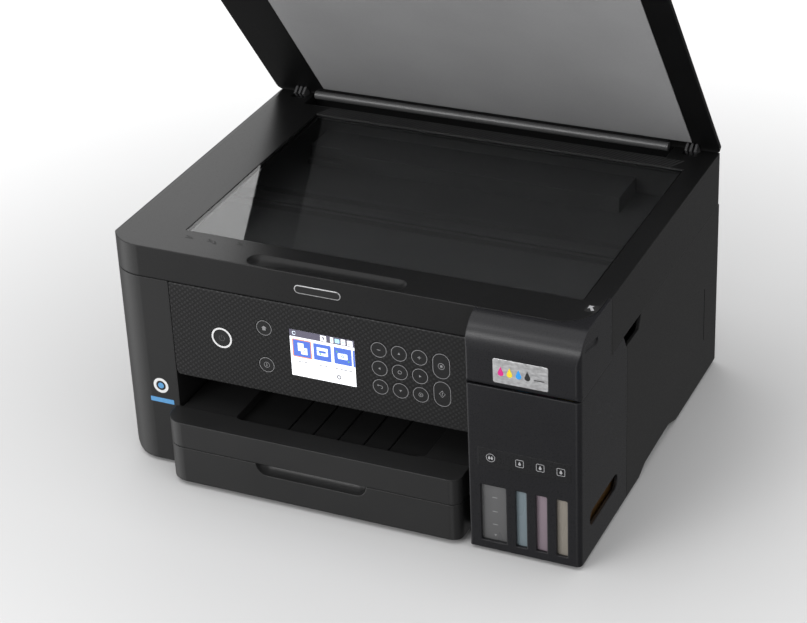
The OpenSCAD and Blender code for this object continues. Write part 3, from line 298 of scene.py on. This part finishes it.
TANK_INKS = {
    "black": (0.105, 0.105, 0.107),
    "cyan": (0.18, 0.225, 0.25),
    "magenta": (0.23, 0.18, 0.21),
    "yellow": (0.265, 0.24, 0.205),
}
CAP_COLOURS = {
    "black": (0.02, 0.02, 0.02),
    "cyan": (0.02, 0.22, 0.4),
    "magenta": (0.4, 0.03, 0.18),
    "yellow": (0.6, 0.45, 0.04),
}
DRESS = {
    case_black: ("left_cover", "right_cover", "rear_cover"),
    rim_black: ("scanner_top",),
    lid_black: ("lid_shell",),
    tank_black: ("tank_housing", "tank_cover"),
    tray_black: ("output_tray", "cassette_drawer"),
    inner_black: ("lower_case", "upper_frame", "platen", "cap_station", "maintenance_box",
                  "power_supply", "ac_inlet", "paper_guide_left", "paper_guide_right",
                  "print_carriage"),
    bed_black: ("scanner_bed", "scan_bar"),
    rubber: ("rubber_feet", "timing_belt", "ink_tubes"),
    roller_rubber: ("feed_roller", "exit_roller", "pickup_roller"),
    mat_grey: ("lid_mat",),
    hinge_grey: ("lid_hinges",),
    board_green: ("main_board",),
    panel_black: ("control_panel",),
    steel: ("metal_frame", "case_screws"),
    motor_steel: ("carriage_motor", "feed_motor"),
    film: ("encoder_strip",),
    glass: ("platen_glass",),
    screen_black: ("screen",),
}
KEYPAD = [f"key_{i}" for i in range(1, 10)]
ROUND_KEYS = ["power_key", "home_key", "help_key"] + KEYPAD
TALL_KEYS = ["stop_key", "start_key"]


def dress(node, material):
    """Gives a CAD node its finished material."""
    shown = nodes[node]
    for place in shown.material_slots:
        place.material = material
    if not shown.material_slots:
        shown.data.materials.append(material)


for material, names in DRESS.items():
    for node in names:
        dress(node, material)
for node in ROUND_KEYS + TALL_KEYS:
    dress(node, key_black)
for ink, tone in TANK_INKS.items():
    dress(f"ink_tank_{ink}", ink_plastic(f"tank_wall_{ink}", tone))
    dress(f"ink_cap_{ink}", plastic(f"cap_{ink}", CAP_COLOURS[ink], 0.4))

# The lid's hinge roll gets a lighter, smoother and glossier copy of the shell's plastic: a painted
# highlight along the roll.
# The roll's middle is at these Y and Z, and it has no face further out than the reach.
ROLL_Y, ROLL_Z = 126.04, 184.66
ROLL_REACH = 3.6
roll_highlight_grey = plastic("roll_highlight_grey", (0.07, 0.07, 0.071), 0.3, specular=0.5)
hinge_low, hinge_high = extent("lid_hinges")
shell = nodes["lid_shell"]
shell.data.materials.append(roll_highlight_grey)
roll_slot = len(shell.data.materials) - 1
for face in shell.data.polygons:
    spot = face.center / MM
    near = (spot.y - ROLL_Y) ** 2 + (spot.z - ROLL_Z) ** 2 < ROLL_REACH ** 2
    if near and hinge_low.x < spot.x < hinge_high.x:
        face.material_index = roll_slot

# Painted shade: the glass sheet's edge faces get the dark inner plastic instead of glass, as they
# lie in the dark between the beds, so they don't shine
sheet = nodes["platen_glass"]
sheet.data.materials.append(inner_black)
edge_slot = len(sheet.data.materials) - 1
for face in sheet.data.polygons:
    if abs(face.normal.z) < 0.5:
        face.material_index = edge_slot

# ---- Flat shapes ----
# Each is a list of faces, and a face is a list of (u, v) points. Widths, heights and
# radii are w, h and r, and (u, v) is the shape's middle.


def rect(w, h, u=0.0, v=0.0):
    """A rectangle with sharp corners."""
    return [[(u - w / 2, v - h / 2), (u + w / 2, v - h / 2),
             (u + w / 2, v + h / 2), (u - w / 2, v + h / 2)]]


def rounded_loop(w, h, r, u=0.0, v=0.0, steps=6):
    """Points round a rectangle with rounded corners."""
    points = []
    for turn, (su, sv) in enumerate(((1, 1), (-1, 1), (-1, -1), (1, -1))):
        for i in range(steps + 1):
            angle = math.radians(90 * turn + 90 * i / steps)
            points.append((u + su * (w / 2 - r) + r * math.cos(angle),
                           v + sv * (h / 2 - r) + r * math.sin(angle)))
    return points


def rounded(w, h, r, u=0.0, v=0.0):
    """A filled rectangle with rounded corners."""
    return [rounded_loop(w, h, r, u, v)]


def border(w, h, r, line, u=0.0, v=0.0):
    """The line round a rounded rectangle."""
    outer = rounded_loop(w, h, r, u, v)
    inner = rounded_loop(w - 2 * line, h - 2 * line, max(r - line, 0.02), u, v)
    count = len(outer)
    return [[outer[i], outer[(i + 1) % count], inner[(i + 1) % count], inner[i]]
            for i in range(count)]


def ring(r_out, r_in, u=0.0, v=0.0, start=0.0, end=360.0):
    """A ring, or a part of one between two angles."""
    count = max(6, int((end - start) / 9))
    angles = [math.radians(start + (end - start) * i / count) for i in range(count + 1)]
    edge = [[(u + r * math.cos(a), v + r * math.sin(a)) for a in angles] for r in (r_out, r_in)]
    return [[edge[0][i], edge[0][i + 1], edge[1][i + 1], edge[1][i]] for i in range(count)]


def disc(r, u=0.0, v=0.0):
    """A filled circle."""
    return [[(u + r * math.cos(math.radians(a)), v + r * math.sin(math.radians(a)))
             for a in range(0, 360, 12)]]


def triangle(size, u, v, angle):
    """An equal-sided triangle that points along angle."""
    return [[(u + size * math.cos(math.radians(angle + turn)),
              v + size * math.sin(math.radians(angle + turn))) for turn in (0, 120, 240)]]


def drop(size, u=0.0, v=0.0):
    """A drop with its point up."""
    points = [(u, v + size)]
    for a in range(150, 391, 15):
        points.append((u + 0.52 * size * math.cos(math.radians(a)),
                       v - 0.28 * size + 0.52 * size * math.sin(math.radians(a))))
    return [points]


def on_front(x, y, z):
    """Places a flat shape upright on a face that looks to the front."""
    return lambda u, v, h: Vector((x + u, y - h, z + v)) * MM


def on_top(x, y, z):
    """Places a flat shape on a face that looks up."""
    return lambda u, v, h: Vector((x + u, y + v, z + h)) * MM


def on_right(x, y, z):
    """Places a flat shape on a face that looks to the right."""
    return lambda u, v, h: Vector((x + h, y + u, z + v)) * MM


def applied(name, body, material, faces, place, thick=0.08, sunk=0.03, edge=0.0):
    """A flat piece on a surface: the faces raised by thick, sunk a little into it."""
    shape = bmesh.new()
    corners = {}
    for face in faces:
        loop = []
        for u, v in face:
            key = (round(u, 4), round(v, 4))
            if key not in corners:
                corners[key] = shape.verts.new(place(u, v, thick))
            loop.append(corners[key])
        shape.faces.new(loop)
    down = place(0, 0, -sunk) - place(0, 0, thick)
    grown = bmesh.ops.extrude_face_region(shape, geom=shape.faces[:])
    moved = [g for g in grown["geom"] if isinstance(g, bmesh.types.BMVert)]
    bmesh.ops.translate(shape, verts=moved, vec=down)
    bmesh.ops.recalc_face_normals(shape, faces=shape.faces[:])
    mesh = bpy.data.meshes.new(name)
    shape.to_mesh(mesh)
    shape.free()
    mesh.materials.append(material)
    piece = bpy.data.objects.new(name, mesh)
    bpy.context.scene.collection.objects.link(piece)
    if edge:
        bevel = piece.modifiers.new("edge", "BEVEL")
        bevel.width = edge * MM
        bevel.segments = 3
        bevel.limit_method = "ANGLE"
        bevel.angle_limit = math.radians(50)
    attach(piece, body)


# ---- Control panel: key outlines and symbols ----

mark_grey = printed("mark_grey", (0.24, 0.24, 0.245))
ring_white = printed("ring_white", (0.72, 0.72, 0.72), 0.3)
mark_dim = printed("mark_dim", (0.05, 0.05, 0.052))

SYMBOLS = {
    "home_key": rect(2.6, 1.9, 0, -0.9) + [[(-2.1, 0.1), (2.1, 0.1), (0, 1.9)]],
    "help_key": ring(2.3, 2.0) + rect(0.5, 1.7, 0, -0.4) + disc(0.35, 0, 1.1),
    "key_1": rect(2.6, 0.45),
    "key_2": triangle(1.1, 0, -0.1, 90),
    "key_3": rect(2.6, 0.45) + rect(0.45, 1.0, 0, 0.75) + rect(0.45, 1.0, 0, -0.75),
    "key_4": triangle(1.1, 0.1, 0, 180),
    "key_5": ring(1.5, 1.1),
    "key_6": triangle(1.1, -0.1, 0, 0),
    "key_7": ring(1.4, 1.0, 0.3, -0.2, -90, 90) + rect(1.9, 0.4, -0.7, 1.0)
    + triangle(0.8, -2.0, 1.0, 180),
    "key_8": triangle(1.1, 0, 0.1, 270),
    "key_9": ring(1.7, 1.35) + disc(0.5),
    "stop_key": ring(2.5, 2.15) + rect(1.8, 1.8),
    "start_key": [[(0, 2.9), (-2.4, 0), (-2.0, 0), (0, 2.4)],
                  [(-2.4, 0), (0, -2.9), (0, -2.4), (-2.0, 0)],
                  [(0, -2.9), (2.4, 0), (2.0, 0), (0, -2.4)],
                  [(2.4, 0), (0, 2.9), (0, 2.4), (2.0, 0)]] + rect(0.45, 2.6),
}


def key_face(node):
    """Where a key's marks go, and the key's width and height."""
    low, high = extent(node)
    middle = (low + high) / 2
    return on_front(middle.x, low.y, middle.z), high.x - low.x, high.z - low.z


for node in KEYPAD + ["home_key", "help_key"]:
    place, w, h = key_face(node)
    applied(f"{node}_outline", node, mark_grey, ring(w / 2 - 0.3, w / 2 - 0.68), place)
    applied(f"{node}_symbol", node, mark_grey, SYMBOLS[node], place)
for node in TALL_KEYS:
    place, w, h = key_face(node)
    line = border(w - 0.6, h - 0.6, w / 2 - 0.35, 0.38)
    applied(f"{node}_outline", node, mark_grey, line, place)
    applied(f"{node}_symbol", node, mark_grey, SYMBOLS[node], place)
place, power_w, h = key_face("power_key")
applied("power_ring", "power_key", ring_white, ring(power_w / 2 - 0.05, power_w / 2 - 1.45),
        place, 0.35, edge=0.15)
applied("power_symbol", "power_key", mark_dim,
        ring(2.4, 1.9, 0, -0.2, -235, 55) + rect(0.5, 2.4, 0, 1.2), place)

# ---- Screen ----

screen_low, screen_high = extent("screen")
FLANGE = 3.0  # hidden edge of the screen, behind the panel
screen_w = screen_high.x - screen_low.x - 2 * FLANGE
screen_h = screen_high.z - screen_low.z - 2 * FLANGE
screen_place = on_front(screen_low.x + FLANGE, screen_low.y, screen_high.z - FLANGE)

white_lit = lit("screen_white", (0.88, 0.90, 0.93), 0.85)
header_lit = lit("screen_header", (0.075, 0.07, 0.10), 0.9)
tile_lit = lit("screen_blue", (0.06, 0.12, 0.44), 0.85)
glyph_lit = lit("screen_glyph", (0.72, 0.82, 0.93), 0.85)
orange_lit = lit("screen_orange", (0.62, 0.2, 0.06), 0.7)
grey_lit = lit("screen_grey", (0.2, 0.2, 0.22), 0.6)
pale_lit = lit("screen_pale_blue", (0.35, 0.6, 0.82), 0.8)
green_lit = lit("screen_green", (0.12, 0.35, 0.12), 0.7)


def on_screen(name, material, faces, layer):
    """A patch of the screen's picture, on that layer; v runs down from the top edge."""
    flipped = [[(u, -v) for u, v in face] for face in faces]
    applied(f"screen_{name}", "panel", material, flipped, screen_place, 0.03 + 0.02 * layer, 0.01)


HEADER_H = 5.6
HEADER_V = HEADER_H / 2
TILE_W, TILE_H, TILE_Y = 13.8, 13.4, 14.6
TILE_X = (9.2, 25.2, 41.2)
first_tile, second_tile, third_tile = TILE_X
on_screen("background", white_lit, rect(screen_w, screen_h, screen_w / 2, screen_h / 2), 0)
on_screen("header", header_lit, rect(screen_w, HEADER_H, screen_w / 2, HEADER_V), 1)
tiles = [f for u in TILE_X for f in rounded(TILE_W, TILE_H, 0.5, u, TILE_Y)]
on_screen("tiles", tile_lit, tiles + rect(1.4, TILE_H, screen_w - 0.75, TILE_Y), 1)
tile_ring = border(TILE_W + 1.2, TILE_H + 1.2, 0.9, 0.7, first_tile, TILE_Y)
on_screen("chosen_tile", orange_lit, tile_ring, 2)

# Symbols on the tiles: two sheets, a printer and a picture
sheets = rect(4.6, 6.4, first_tile - 0.9, TILE_Y - 1.2)
sheets += rect(5.0, 5.4, first_tile + 1.6, TILE_Y + 1.8)
printer = rect(8.6, 2.4, second_tile, TILE_Y - 2.6)
for side in (-3.5, 3.5):
    printer += rect(1.6, 3.6, second_tile + side, TILE_Y + 0.8)
printer += rect(5.2, 2.2, second_tile, TILE_Y + 1.6)
picture = rounded(7.6, 4.6, 0.8, third_tile - 0.2, TILE_Y)
on_screen("glyphs", glyph_lit, sheets + printer + picture, 2)
lines = rect(2.4, 0.6, first_tile + 1.6, TILE_Y + 0.8)
lines += rect(2.4, 0.6, first_tile + 1.6, TILE_Y + 2.2)
lines += ring(1.1, 0.6, third_tile - 0.2, TILE_Y)
on_screen("glyph_lines", tile_lit, lines, 3)
leaves = triangle(1.2, second_tile - 1.6, TILE_Y + 1.4, 0)
leaves += triangle(1.0, third_tile - 4.6, TILE_Y - 3.2, 0)
leaves += triangle(1.0, third_tile + 4.4, TILE_Y + 3.4, 0)
on_screen("glyph_green", green_lit, leaves, 3)

# Blank bars in place of the captions: the widths of the bars under each tile
CAPTION_BARS = ((2.0, 1.4, 2.4), (2.2, 1.6, 1.8), (3.4, 2.0, 2.8, 3.2))
CAPTION_GAP = 0.5
CAPTION_V = 25.4
captions = []
for u, widths in zip(TILE_X, CAPTION_BARS):
    left = u - (sum(widths) + CAPTION_GAP * (len(widths) - 1)) / 2
    for width in widths:
        captions += rect(width, 0.8, left + width / 2, CAPTION_V)
        left += width + CAPTION_GAP
on_screen("captions", grey_lit, captions, 1)
WHEEL_AT = (37.2, 32.2)
on_screen("wheel", grey_lit, ring(1.9, 0.9, *WHEEL_AT) + ring(0.5, 0.1, *WHEEL_AT), 1)
on_screen("home_mark", glyph_lit, ring(1.5, 1.1, 3.6, 2.7, 30, 330), 2)

# Status symbols in the header, from left to right
INK_U, BATTERY_U, SIGNAL_U, CARD_U, LIST_U = 26.6, 33.2, 37.4, 42.0, 47.2
status_white = rounded(4.6, 4.4, 0.4, INK_U, HEADER_V) + rounded(2.4, 4.4, 0.3, BATTERY_U, HEADER_V)
status_white += rounded(3.4, 4.4, 0.3, CARD_U, HEADER_V) + rounded(4.2, 4.2, 0.3, LIST_U, 2.9)
on_screen("status_white", white_lit, status_white, 2)
status_blue = rounded(3.6, 3.4, 0.3, SIGNAL_U, HEADER_V) + rect(1.0, 3.4, BATTERY_U, HEADER_V)
status_blue += rect(1.6, 1.4, CARD_U, HEADER_V)
on_screen("status_blue", pale_lit, status_blue, 3)
status_dark = rect(0.9, 2.6, INK_U, 2.9) + rect(2.4, 0.8, INK_U, 2.2)
status_dark += rect(2.8, 0.5, LIST_U, 2.2) + rect(2.8, 0.5, LIST_U, 3.6)
on_screen("status_dark", header_lit, status_dark, 3)

# ---- Marks on the covers ----

panel_low, panel_high = extent("control_panel")
top_low, top_high = extent("scanner_top")
housing_low, housing_high = extent("tank_housing")
cover_low, cover_high = extent("tank_cover")
left_low, left_high = extent("left_cover")
glass_low, glass_high = extent("platen_glass")
rim = top_high.z
face_y = panel_low.y
tank_y = housing_low.y
panel_x = (panel_low.x + panel_high.x) / 2

# Blank nameplate on the scanner unit's front band: a silver edge round a black field
PLATE_W, PLATE_H, PLATE_EDGE = 36.0, 6.6, 0.7
band_z = (panel_high.z + rim) / 2 + 0.9
plate_at = on_front(panel_x + 0.7, face_y, band_z)
plate = rounded(PLATE_W, PLATE_H, 3.2)
field = rounded(PLATE_W - 2 * PLATE_EDGE, PLATE_H - 2 * PLATE_EDGE, 2.55)
applied("nameplate", "scanner", name_silver, plate, plate_at, 0.35, edge=0.25)
applied("nameplate_field", "scanner", case_black, field, plate_at, 0.42)

# Blank badge with four ink drops on the tank cover
BADGE_W, BADGE_H = 39.5, 18.6
INK_PRINT = 0.25  # how far the prints on the badge stand off the cover; the badge is 0.2
badge_x = (cover_low.x + cover_high.x) / 2 - 1.1
badge_at = on_front(badge_x, tank_y, cover_low.z + 13.7)
plate = rounded(BADGE_W, BADGE_H, 1.4)
applied("badge", "tank_cover", badge_silver, plate, badge_at, 0.2, edge=0.12)
BADGE_INKS = {
    "magenta": (0.62, 0.02, 0.22),
    "yellow": (0.8, 0.62, 0.03),
    "cyan": (0.03, 0.3, 0.72),
    "black": (0.02, 0.02, 0.02),
}
BADGE_PITCH = 6.4
for i, (ink, colour) in enumerate(BADGE_INKS.items()):
    badge_ink = printed(f"badge_{ink}", colour, 0.3)
    shape = drop(4.0, -14.2 + BADGE_PITCH * i, -0.4)
    applied(f"badge_dot_{ink}", "tank_cover", badge_ink, shape, badge_at, INK_PRINT)
badge_line = rounded(7.5, 0.8, 0.38, 13.4, -2.0)
applied("badge_line", "tank_cover", mark_dim, badge_line, badge_at, INK_PRINT)

# Label strip over the ink windows
strip_grey = plastic("strip_grey", (0.011, 0.011, 0.012), 0.3, 1500, 0.01)
label_white = printed("label_white", (0.36, 0.36, 0.37))
strip_x = (housing_low.x + housing_high.x) / 2
strip_z = housing_low.z + 75.6
strip_at = on_front(strip_x, tank_y, strip_z)
applied("label_strip", "base", strip_grey, rounded(68, 14.4, 0.6, 0.3), strip_at, 0.1)


def tank_x(ink):
    """The middle of an ink tank, from left to right."""
    low, high = extent(f"ink_tank_{ink}")
    return (low.x + high.x) / 2


black_label = ring(3.3, 2.95) + drop(1.7, -1.0, 0) + drop(1.7, 1.0, 0)
black_at = on_front(tank_x("black") - 1.2, tank_y, strip_z)
applied("label_black", "base", label_white, black_label, black_at, 0.16)
ink_label = border(6.0, 6.0, 1.0, 0.36) + drop(1.9)
for ink in ("cyan", "magenta", "yellow"):
    label_at = on_front(tank_x(ink) - 0.4, tank_y, strip_z)
    applied(f"label_{ink}", "base", label_white, ink_label, label_at, 0.16)

# Level marks on the black tank's wall
level_grey = printed("level_grey", (0.26, 0.26, 0.265))
tank_low, tank_high = extent("ink_tank_black")
LEVELS = (41.4, 29.8, 19.0)
levels = [f for height in LEVELS for f in rect(3.6, 0.5, 0, height)] + triangle(1.1, 0, 10.2, 270)
level_at = on_front(tank_x("black"), tank_low.y, housing_low.z)
applied("level_marks", "base", level_grey, levels, level_at, 0.1)

# Round mark and blank blue label on the pillar at the left
label_blue = printed("label_blue", (0.09, 0.30, 0.58), 0.35)
pillar_x = left_high.x - 14.8
pillar_at = on_front(pillar_x, face_y, housing_low.z + 64.7)
applied("pillar_mark", "base", ring_white, ring(6.2, 4.0), pillar_at, 0.12)
applied("pillar_dot", "base", label_blue, disc(2.4), pillar_at, 0.14)
applied("pillar_label", "base", label_blue, rounded(19.6, 3.8, 0.5, 0, -12.7), pillar_at, 0.12)

# Small marks on the bezel beside the glass
bezel_dark = printed("bezel_dark", (0.006, 0.006, 0.006), 0.7)
BEZEL_MARKS = ((0, 0, 6.5), (17, 0, 4.5), (21.6, -1.8, 3.2), (39.5, 3, 5.0))
marks = []
for u, v, width in BEZEL_MARKS:
    marks += rect(width, 0.7, u, v - 1.6)
    marks += rect(width * 0.6, 0.7, u - 0.3, v)
    marks += triangle(0.9, u - width / 2 + 0.2, v + 1.5, 90)
marks_at = on_top(glass_low.x + 8, glass_low.y - 9, rim)
applied("bezel_marks", "scanner", bezel_dark, marks, marks_at, 0.05)

# Corner mark that shows where a sheet goes
corner_at = on_top(glass_high.x + 9.2, glass_low.y - 9.4, rim)
applied("corner_field", "scanner", bezel_dark, rounded(8.6, 9.6, 1.2), corner_at, 0.05)
arrow = [[(-3.0, 3.4), (-3.0, -0.8), (-1.7, 0.5), (0.4, -3.2),
          (2.2, -2.0), (-0.4, 1.7), (0.6, 3.4)]]
applied("corner_arrow", "scanner", label_white, arrow, corner_at, 0.09)

# Fine slanting ribs on the strip behind the glass
rib_grey = printed("rib_grey", (0.035, 0.035, 0.0355), 0.5)
RIB_PITCH = 3.4
RIB_W = 1.5
RIB_DEPTH = 13.4
RIB_SLANT = 7.0
strip_length = glass_high.x - glass_low.x - RIB_SLANT - RIB_W - 0.5
ribs = []
for i in range(math.ceil(strip_length / RIB_PITCH)):
    u = RIB_PITCH * i
    ribs.append([(u, 0), (u + RIB_W, 0),
                 (u + RIB_SLANT + RIB_W, RIB_DEPTH), (u + RIB_SLANT, RIB_DEPTH)])
applied("rib_strip", "scanner", rib_grey, ribs, on_top(glass_low.x, glass_high.y + 0.8, rim), 0.22)

# What shows through the slot low in the tank block's side
slot_at = on_right(housing_high.x - 5.4, housing_low.y + 46, housing_low.z + 28)
applied("slot_plate", "base", copper, rounded(66, 17, 3), slot_at, 1.2)

# Dot at the end of the seam in the tank block's side
seam_at = on_right(housing_high.x, housing_low.y + 64, housing_high.z - 2.4)
applied("seam_dot", "base", bezel_dark, disc(0.8), seam_at, 0.05)

# ---- Stage: floor, light and camera ----

FLOOR_Y = 3.0  # the floor's middle lies that far behind the printer
# Painted light: the floor's glow grows from FADE_START to FADE_END metres from the printer, up to
# FADE_GLOW
FADE_START, FADE_END = 0.25, 1.0
FADE_GLOW = 0.5


def make_floor():
    """A pale floor that fades to white away from the printer: painted light, as it glows more the
    further it lies from the printer.
    """
    bpy.ops.mesh.primitive_plane_add(size=16, location=(0, FLOOR_Y, 0))
    floor = bpy.context.object
    floor.name = "floor"
    made, tree, shader, coords = start_material("floor_white")
    shift = tree.nodes.new("ShaderNodeMapping")
    shift.inputs["Location"].default_value = (0, FLOOR_Y, 0)
    tree.links.new(coords, shift.inputs["Vector"])
    length = tree.nodes.new("ShaderNodeVectorMath")
    length.operation = "LENGTH"
    tree.links.new(shift.outputs["Vector"], length.inputs[0])
    fade = tree.nodes.new("ShaderNodeMapRange")
    fade.interpolation_type = "SMOOTHSTEP"
    fade.inputs["From Min"].default_value = FADE_START
    fade.inputs["From Max"].default_value = FADE_END
    fade.inputs["To Min"].default_value = 0.0
    fade.inputs["To Max"].default_value = FADE_GLOW
    tree.links.new(length.outputs["Value"], fade.inputs["Value"])
    shader.inputs["Base Color"].default_value = (0.58, 0.58, 0.582, 1)
    shader.inputs["Roughness"].default_value = 0.9
    shader.inputs["Specular IOR Level"].default_value = 0.1
    shader.inputs["Emission Color"].default_value = (1, 1, 1, 1)
    tree.links.new(fade.outputs["Result"], shader.inputs["Emission Strength"])
    floor.data.materials.append(made)
    floor.visible_glossy = False


def area_light(name, place, target, size, power):
    """A soft square light that looks at target."""
    lamp = bpy.data.lights.new(name, "AREA")
    lamp.shape = "RECTANGLE"
    lamp.size, lamp.size_y = size
    lamp.energy = power
    holder = bpy.data.objects.new(name, lamp)
    holder.location = place
    holder.rotation_euler = (Vector(target) - Vector(place)).to_track_quat("-Z", "Y").to_euler()
    bpy.context.scene.collection.objects.link(holder)


def side_ramp(tree, factor, stops):
    """A grey that changes from left to right; stops are (x of the direction, brightness)."""
    made = tree.nodes.new("ShaderNodeValToRGB")
    elements = made.color_ramp.elements
    while len(elements) < len(stops):
        elements.new(1.0)
    for element, (x, tone) in zip(elements, stops):
        element.position = (x + 1) / 2
        element.color = (tone, tone, tone, 1)
    tree.links.new(factor, made.inputs["Fac"])
    return made.outputs["Color"]


def blended(tree, value, start, end, first, second):
    """The first colour up to start, the second from end on."""
    step = tree.nodes.new("ShaderNodeMapRange")
    step.interpolation_type = "SMOOTHSTEP"
    step.inputs["From Min"].default_value = start
    step.inputs["From Max"].default_value = end
    tree.links.new(value, step.inputs["Value"])
    mix = tree.nodes.new("ShaderNodeMix")
    mix.data_type = "RGBA"
    colours = [socket for socket in mix.inputs if socket.type == "RGBA"]
    tree.links.new(step.outputs["Result"], mix.inputs["Factor"])
    tree.links.new(first, colours[0])
    tree.links.new(second, colours[1])
    return next(socket for socket in mix.outputs if socket.type == "RGBA")


def make_world():
    """Studio light from all round, in patches that the glossy covers mirror."""
    world = bpy.data.worlds.new("studio")
    bpy.context.scene.world = world
    world.use_nodes = True
    tree = world.node_tree
    coords = tree.nodes.new("ShaderNodeTexCoord").outputs["Generated"]
    split = tree.nodes.new("ShaderNodeSeparateXYZ")
    tree.links.new(coords, split.inputs["Vector"])
    side = math_node(tree, "MULTIPLY_ADD", split.outputs["X"], 0.5)
    side.node.inputs[2].default_value = 0.5
    above = side_ramp(tree, side, (
        (-1.0, 0.14), (-0.65, 0.35), (-0.5, 0.72), (-0.36, 0.5), (-0.1, 0.22), (1.0, 0.38)))
    front = side_ramp(tree, side, (
        (-1.0, 1.0), (-0.58, 1.0), (-0.48, 0.5), (-0.38, 0.17), (-0.3, 0.02),
        (-0.1, 0.1), (0.08, 0.9), (0.25, 0.6), (0.4, 0.06), (1.0, 0.06)))
    behind = side_ramp(tree, side, ((-1.0, 0.14), (-0.3, 0.07), (0.3, 0.05), (1.0, 0.05)))
    below = blended(tree, split.outputs["Y"], 0.3, -0.3, behind, front)
    below = blended(tree, split.outputs["Z"], -0.6, -0.44, behind, below)
    tone = blended(tree, split.outputs["Z"], -0.05, 0.3, below, above)
    back = tree.nodes["Background"]
    tree.links.new(tone, back.inputs["Color"])
    back.inputs["Strength"].default_value = 3.0


def make_camera():
    """The camera: turned round the object, raised and rolled by these angles."""
    azimuth, elevation, roll = (math.radians(a) for a in (25.535, 29.211, -2.681))
    target = Vector((10.96, -65.82, 115.99)) * MM
    distance = 1.6697
    back = Vector((math.sin(azimuth) * math.cos(elevation),
                   -math.cos(azimuth) * math.cos(elevation), math.sin(elevation)))
    right = Vector((math.cos(azimuth), math.sin(azimuth), 0))
    up = back.cross(right)
    turned_right = right * math.cos(roll) + up * math.sin(roll)
    turned_up = up * math.cos(roll) - right * math.sin(roll)
    camera = bpy.data.objects.new("camera", bpy.data.cameras.new("camera"))
    spin = Matrix((turned_right, turned_up, back)).transposed().to_4x4()
    camera.matrix_world = Matrix.Translation(target + back * distance) @ spin
    camera.data.lens = 102.1
    camera.data.sensor_width = 36
    camera.data.clip_end = 60
    bpy.context.scene.collection.objects.link(camera)
    bpy.context.scene.camera = camera


make_floor()
make_world()
make_camera()
area_light("top_softbox", (-0.1, 0.0, 1.7), (0, 0, 0.1), (1.2, 0.8), 7.5)
bpy.data.objects["top_softbox"].visible_glossy = False  # no mirror image in the covers
area_light("edge_softbox", (-0.64, -0.93, 1.48), (0, -0.1, 0.18), (0.5, 0.35), 2.5)
area_light("front_softbox", (-0.75, -1.9, 1.05), (0, 0, 0.15), (0.8, 0.5), 10)
scene = bpy.context.scene
scene.view_settings.view_transform = "Standard"
